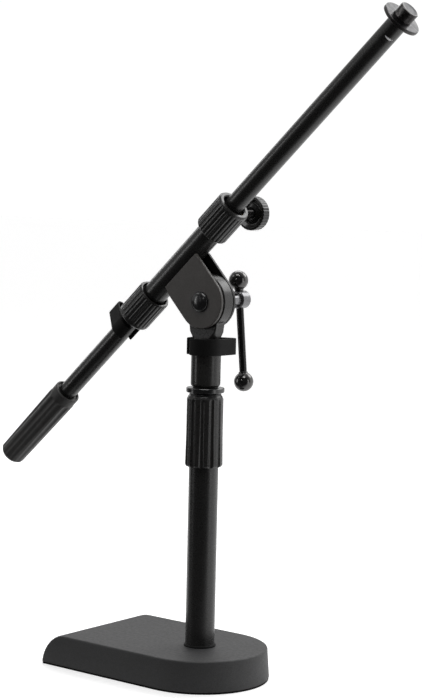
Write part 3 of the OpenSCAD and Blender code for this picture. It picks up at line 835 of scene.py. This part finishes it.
# ---------------------------------------------------------------- boom
tube = lathe("boom_tube_black", [(8.6, -62), (10.5, -62), (10.5, 67), (8.6, 67)], K["black_tube"], "boom_yoke",
             ("boom_sleeve_tube",), ONB, r=0.25, step=16)
v, f = rev([(0, 2), (4.6, 2), (4.6, 20), (0, 20)], 48)
cut(tube, [(v, f, SCREW)])

NR, FS0, FS1 = 24, 41.6, 73.7
gs = flutes(NR, 15.2, 1.05, 0.0, 0.16)


def sleeve_rf(z_lo, z_hi, fade=1.0):
    def f(th, r, z):
        if r < 13.75:
            return r
        k = smooth((z - z_lo) / fade) * smooth((z_hi - z) / fade)
        return r - k * (r - gs(th, r))
    return f


fs = lathe("front_sleeve_black",
           [(10.52, FS0), (13.8, FS0, 0.3), (14.7, FS0 + 1.2, 0.6), (14.7, 60, 0), (14.7, FS1 - 1.5, 0.9), (13.7, FS1, 0.5), (11.2, FS1, 0.2), (10.3, FS1 - 0.9, 0.2),
            (10.3, 67.02, 0.1), (10.52, 67.0, 0.02), (10.52, 55, 0)],
           K["black_plastic"], "boom_yoke", ("front_sleeve",), ONB, seg=NR * 10, step=1.0, rf=sleeve_rf(FS0 - 3, FS1 - 2.4),
           r=0.3, n=4, sharp=55)
v, f = rev([(0, 8), (5.02, 8), (5.02, 20), (0, 20)], 48)
cut(fs, [(v, f, SCREW)], sharp=50)

th6 = thread(3.0, 0.5, 1.0, 12.0, 36.0)
v, f = rev(dense(soft([(0, 10.68), (2.3, 10.68), (3.0, 11.4), (3.0, 37), (0, 37)], 0.15, 2), 0.125)[0:], 40, th6)
new_obj("lock_screw_black", v, f, K["thread_steel"], "lock_knob", ("lock_screw",), SCREW, 60)

KY = 31.0
gk = flutes(30, 14.65, 0.75, 0.0, 0.25)
prof = soft([(0, KY + 6.02), (3.02, KY + 6.02, 0.1), (3.02, KY + 2.2, 0.2), (5.4, KY + 1.2, 0.6), (9, KY + 3.2, 1.6), (12.2, KY, 0.6), (13.6, KY, 0.4),
             (14.2, KY + 0.7, 0.4), (14.2, KY + 8.2, 0.7), (13, KY + 9.4, 0.7), (10.4, KY + 9.4, 0.4), (9.4, KY + 8.7, 0.6), (0, KY + 8.5)], 0.3, 4)
prof = dense(prof, 0.9)
v, f = rev(prof, 240, lambda th, r, z: gk(th, r) if r > 13.2 else r)
# the knob is drawn in the darkened copy of its black plastic, a painted shade
new_obj("lock_knob_black", v, f, K["knob_black_painted_shade"], "lock_knob", ("lock_knob",), SCREW, 50)

RC0, RC1 = -71.2, -39.7
lathe("rear_twist_grip",
      [(8.5, RC0), (13.7, RC0, 0.4), (14.7, RC0 + 1.2, 0.6), (14.7, -60, 0), (14.7, RC1 - 1.2, 0.6), (13.8, RC1, 0.3), (12.27, RC1, 0.3), (12.27, -50, 0),
       (12.27, -61.9, 0.1), (11.25, -63.5), (9.0, -70)],
      K["black_plastic"], "rear_clutch", ("rear_clutch_grip",), ONB, seg=NR * 10, step=1.0, rf=sleeve_rf(RC0 + 3.2, RC1 + 3),
      r=0.3, n=4, sharp=55)

# the sliding rod, with the two crimps that hold the stud's plug
R0, R1 = -262.0, 282.9


def dimple(th, r, z):
    if r < 7.9:
        return r
    # a lanced crescent: a slope that falls towards the tip, and a wall at its end
    for a in (-40, 140):
        d = (th - radians(a) + pi) % TAU - pi
        x, y = 8.0 * d, (z - (R1 - 13.3))
        if abs(x) < 4.3:
            span = 1 - (x / 4.3) ** 2
            lo, hi = -1.7 * span, 0.5 * span
            if lo < y < hi:
                k = (y - lo) / (hi - lo)
                return r - 0.85 * min(1.0, span * 1.6) * smooth(k / 0.8 if k < 0.8 else (1 - k) / 0.2)
    return r


pts = [(6.6, R0), (8.0, R0)]
z = R0 + 20
while z < R1 - 18:
    pts.append((8.0, z)); z += 20
z = R1 - 15.2
while z < R1 - 12.4:
    pts.append((8.0, z)); z += 0.1
pts += [(8.0, R1 - 6), (8.0, R1), (6.6, R1), (6.6, 100), (6.6, -100)]
pts = [p + ((0.2,) if i in (0, 1) else (0,)) for i, p in enumerate(pts)]
v, f = rev(soft(pts, 0, 3, True), 200, dimple)
rod = new_obj("boom_rod_black", v, f, [K["black_tube"], K["bare_steel_and_painted_glint"]], "boom_rod", ("boom_rod",), ONB, 45)
Mi = ONB.inverted()
# the crimps' slopes take the bright steel: partly paint broken in the crimp, partly a painted glint
for p in rod.data.polygons:
    c = Mi @ (p.center / MM)
    if 7.0 < sqrt(c.x * c.x + c.y * c.y) < 7.93 and abs(c.z - (R1 - 13.3)) < 1.6:
        p.material_index = 1

FT = 286.3
th58 = thread(STUD_R, 0.42, 25.4 / 27, FT + 0.5, FT + 8.5)
prof = [(0, R1 - 18), (6.55, R1 - 18, 0.3), (6.55, R1, 0), (6.55, R1 + 0.02, 0), (15, R1 + 0.02, 0.4), (16.2, FT - 2.7, 0.4), (16.2, FT - 0.4, 0.3), (15.8, FT, 0.2)]
prof = soft(prof + [(STUD_R, FT, 0)], 0.3, 4)
prof += dense([(STUD_R, FT), (STUD_R, FT + 8.2), (STUD_R - 0.75, FT + 8.9)], 0.117)[1:]
prof += [(STUD_R - 1.2, FT + 8.9), (5.9, FT + 8.9), (5.4, FT + 8.62), (3, FT + 8.6), (0, FT + 8.6)]
def stud_rf(th, r, z):
    if z < FT - 3:
        for a in (-45, 135):
            d = (th - radians(a) + pi) % TAU - pi
            x, y = 6.6 * d, (z - (R1 - 13.3))
            if x * x + y * y < 3.2 and r > 6.4:
                return r - 0.5
        return r
    return th58(th, r, z)
v, f = rev(prof, 128, stud_rf)
stud = new_obj("mic_stud_steel", v, f, [K["stud_steel"], K["thread_steel"]], "boom_rod", ("mic_stud",), ONB, 38)
for p in stud.data.polygons:
    c = Mi @ (p.center / MM)
    q = sqrt(c.x * c.x + c.y * c.y)
    if (FT < c.z and 6.9 < q) or q > 15.95 or c.z < FT - 0.5:
        p.material_index = 1

# end plug and grip
lathe("rod_plug_rubber", [(0, R0 - 3), (8, R0 - 3, 0.8), (8, R0 - 0.02, 0.2), (6.55, R0 - 0.02, 0), (6.55, R0 + 14, 0.5), (0, R0 + 14)], K["rubber_black"], "boom_rod",
      ("rod_end_plug",), ONB, r=0.3)
G0, G1 = -268.3, -174.7
gg = flutes(10, 16.2, 4.9, radians(18), 0.5)
def grip_rf(th, r, z):
    if r < 10.6:
        return r
    k = smooth((G1 - 9.4 - z) / 0.8)
    return r - k * (r - gg(th, r))
lathe("boom_end_grip",
      [(9.3, G0, 0.2), (9.7, G0, 0.2), (11.6, G0 + 2.4, 0.9), (12.0, -230, 0), (12.4, G1 - 10, 0.3), (12.0, G1 - 8.6, 0.3), (12.0, G1 - 0.8, 0.5), (11.3, G1, 0.3), (10.3, G1, 0.2), (10.1, G1 - 1.6, 0.2), (8.04, G1 - 1.6, 0.2),
       (8.04, G1 - 9.1, 0.1), (10.12, G1 - 9.1, 0.1), (10.12, G0 + 3.3, 0.1), (9.3, G0 + 3.2, 0.1)],
      K["grip_rubber"], "boom_rod", ("boom_grip",), ONB, seg=10 * 18, step=1.4, rf=grip_rf, r=0.3, n=4, sharp=50)

# ---------------------------------------------------------------- stage
FWD_A, FWD_P, ROLL = radians(38.3552), radians(8.4635), radians(1.2762)
F = Vector((-sin(FWD_A) * cos(FWD_P), cos(FWD_A) * cos(FWD_P), -sin(FWD_P)))
Rt = Vector((cos(FWD_A), sin(FWD_A), 0))
Up = Rt.cross(F)
R_, U_ = Rt * cos(ROLL) + Up * sin(ROLL), -Rt * sin(ROLL) + Up * cos(ROLL)
HOME = Vector((0.9770913, -1.2347630, 0.4191693))
cam_data = bpy.data.cameras.new("camera")
cam = bpy.data.objects.new("camera", cam_data)
scene.collection.objects.link(cam)
cam.matrix_world = Matrix(((R_.x, U_.x, -F.x, HOME.x), (R_.y, U_.y, -F.y, HOME.y), (R_.z, U_.z, -F.z, HOME.z), (0, 0, 0, 1)))
cam_data.sensor_fit = "AUTO"
cam_data.sensor_width = 36
cam_data.lens = 97.03
cam_data.clip_start, cam_data.clip_end = 0.05, 60
scene.camera = cam
# the lens is shifted only while the camera stands at its own place
home = bpy.data.objects.new("camera_home", None)
home.location = HOME
scene.collection.objects.link(home)
for prop, val in (("shift_x", 0.010397), ("shift_y", 0.161853)):
    fc = cam_data.driver_add(prop)
    for md in list(fc.modifiers):
        fc.modifiers.remove(md)
    while fc.keyframe_points:
        fc.keyframe_points.remove(fc.keyframe_points[0])
    d = fc.driver
    d.type = "SUM"
    va = d.variables.new()
    va.type = "LOC_DIFF"
    va.targets[0].id = cam
    va.targets[1].id = home
    for x, y in ((0.0, val), (0.1, val), (0.3, 0.0), (1.0, 0.0)):
        kp = fc.keyframe_points.insert(x, y)
        kp.interpolation = "LINEAR"
    fc.extrapolation = "CONSTANT"

# floor: one wide pale sheet
me = bpy.data.meshes.new("studio_floor")
S = 14.0
me.from_pydata([(-S, -S, 0), (S, -S, 0), (S, S, 0), (-S, S, 0)], [], [(0, 1, 2, 3)])
floor = bpy.data.objects.new("studio_floor", me)
scene.collection.objects.link(floor)
fm = bpy.data.materials.new("pale_floor")
fm.use_nodes = True
N, L = fm.node_tree.nodes, fm.node_tree.links
bs = N["Principled BSDF"]
bs.inputs["Base Color"].default_value = (0.92, 0.92, 0.92, 1)
bs.inputs["Roughness"].default_value = 0.6
bs.inputs["Specular IOR Level"].default_value = 0.2
bs.inputs["Emission Color"].default_value = (1, 1, 1, 1)
tc = N.new("ShaderNodeTexCoord")
ln = N.new("ShaderNodeVectorMath"); ln.operation = "LENGTH"
L.new(tc.outputs["Object"], ln.inputs[0])
mr = N.new("ShaderNodeMapRange")
mr.interpolation_type = "SMOOTHSTEP"
mr.inputs["From Min"].default_value, mr.inputs["From Max"].default_value = 0.15, 1.2
mr.inputs["To Min"].default_value, mr.inputs["To Max"].default_value = 0.45, 0.60
L.new(ln.outputs["Value"], mr.inputs["Value"])
# the object's dark paint sees a darker floor towards the room, as it does in a studio sweep
sees = N.new("ShaderNodeVectorMath"); sees.operation = "DOT_PRODUCT"
L.new(tc.outputs["Object"], sees.inputs[0])
_d = Vector((-F.x, -F.y, 0)).normalized() * cos(radians(38)) - Rt * sin(radians(38))
sees.inputs[1].default_value = tuple(_d)
dim = N.new("ShaderNodeMapRange"); dim.interpolation_type = "SMOOTHSTEP"
dim.inputs["From Min"].default_value, dim.inputs["From Max"].default_value = -0.10, 0.22
dim.inputs["To Min"].default_value, dim.inputs["To Max"].default_value = 0.80, 0.02
L.new(sees.outputs["Value"], dim.inputs["Value"])
lpf = N.new("ShaderNodeLightPath")
for sock, seen in (("Base Color", 0.92), ("Emission Strength", mr.outputs["Result"])):
    mxf = N.new("ShaderNodeMix"); mxf.data_type = "FLOAT"
    L.new(lpf.outputs["Is Camera Ray"], mxf.inputs["Factor"])
    if sock == "Emission Strength":
        half = N.new("ShaderNodeMath"); half.operation = "MULTIPLY"
        half.inputs[1].default_value = 0.5
        L.new(dim.outputs["Result"], half.inputs[0])
        L.new(half.outputs[0], mxf.inputs[2])
        L.new(seen, mxf.inputs[3])
    else:
        L.new(dim.outputs["Result"], mxf.inputs[2])
        mxf.inputs[3].default_value = seen
    L.new(mxf.outputs[0], bs.inputs[sock])
me.materials.append(fm)

# studio: white all round, darker towards the room behind the camera
world = bpy.data.worlds.new("studio")
scene.world = world
world.use_nodes = True
N, L = world.node_tree.nodes, world.node_tree.links
bg = N["Background"]
tc = N.new("ShaderNodeTexCoord")


def dot(v):
    n = N.new("ShaderNodeVectorMath")
    n.operation = "DOT_PRODUCT"
    L.new(tc.outputs["Generated"], n.inputs[0])
    n.inputs[1].default_value = v
    return n.outputs["Value"]


def ramp(v, stops):
    n = N.new("ShaderNodeMapRange")
    n.interpolation_type = "SMOOTHSTEP"
    n.inputs["From Min"].default_value, n.inputs["From Max"].default_value = stops[0], stops[1]
    n.inputs["To Min"].default_value, n.inputs["To Max"].default_value = stops[2], stops[3]
    L.new(v, n.inputs["Value"])
    return n.outputs["Result"]


def op(kind, a, b):
    n = N.new("ShaderNodeMath")
    n.operation = kind
    for i, x in enumerate((a, b)):
        if isinstance(x, (int, float)):
            n.inputs[i].default_value = x
        else:
            L.new(x, n.inputs[i])
    return n.outputs[0]


back = dot(tuple(F))                       # 1 behind the object, -1 at the camera
right = dot(tuple(Rt))
behind = ramp(back, (-0.80, 0.55, 0.06, 1.0))
side = ramp(right, (-1.0, 0.9, 0.42, 1.0))
level = op("MULTIPLY", behind, side)
lp = N.new("ShaderNodeLightPath")
mx = N.new("ShaderNodeMix")
mx.data_type = "FLOAT"
L.new(lp.outputs["Is Camera Ray"], mx.inputs["Factor"])
L.new(level, mx.inputs[2])
mx.inputs[3].default_value = 1.02
L.new(mx.outputs[0], bg.inputs["Strength"])
bg.inputs["Color"].default_value = (1, 1, 1, 1)


def area(name, place, target, size, power, colour=(1, 1, 1)):
    ld = bpy.data.lights.new(name, "AREA")
    ld.shape = "RECTANGLE"
    ld.size, ld.size_y = size
    ld.energy = power
    ld.color = colour
    o = bpy.data.objects.new(name, ld)
    scene.collection.objects.link(o)
    o.location = place
    o.visible_camera = False
    o.rotation_mode = "QUATERNION"
    o.rotation_quaternion = (Vector(target) - Vector(place)).to_track_quat("-Z", "Y")
    return o


mid = Vector((0, 0, 0.28))
toward = -F
def place(az, el, dist):
    """A point az degrees to the camera's right and el degrees up, seen from the object."""
    h = Vector((-F.x, -F.y, 0)).normalized()
    a = radians(az)
    d = h * cos(a) + Rt * sin(a)
    e = radians(el)
    return mid + (d * cos(e) + Vector((0, 0, 1)) * sin(e)) * dist


area("right_strip", place(57, 6, 1.7), mid, (0.34, 1.2), 2.2)
area("right_soft", place(100, 10, 1.8), mid, (0.7, 1.5), 1.8)
area("back_right", place(125, 38, 1.8), mid, (1.0, 0.8), 9.0)
area("back_left", place(-148, 15, 1.9), mid, (0.22, 0.9), 1.8)
area("back_top", place(178, 48, 1.9), mid, (1.2, 0.5), 8.0)
area("top_soft", place(-10, 68, 1.7), mid, (1.1, 0.8), 11.3)
area("left_strip", place(-58, 16, 1.8), mid, (0.09, 0.8), 0.3)
area("left_soft", place(-86, 4, 1.9), mid, (0.20, 1.1), 3.0)
area("left_high", place(-95, 42, 1.9), mid, (0.5, 0.5), 1.2)
area("left_small", place(-29, 24, 2.0), mid, (0.20, 0.20), 1.0)

scene.view_settings.view_transform = "Standard"
scene.view_settings.look = "None"
scene.view_settings.exposure = 0.0
scene.view_settings.gamma = 1.0
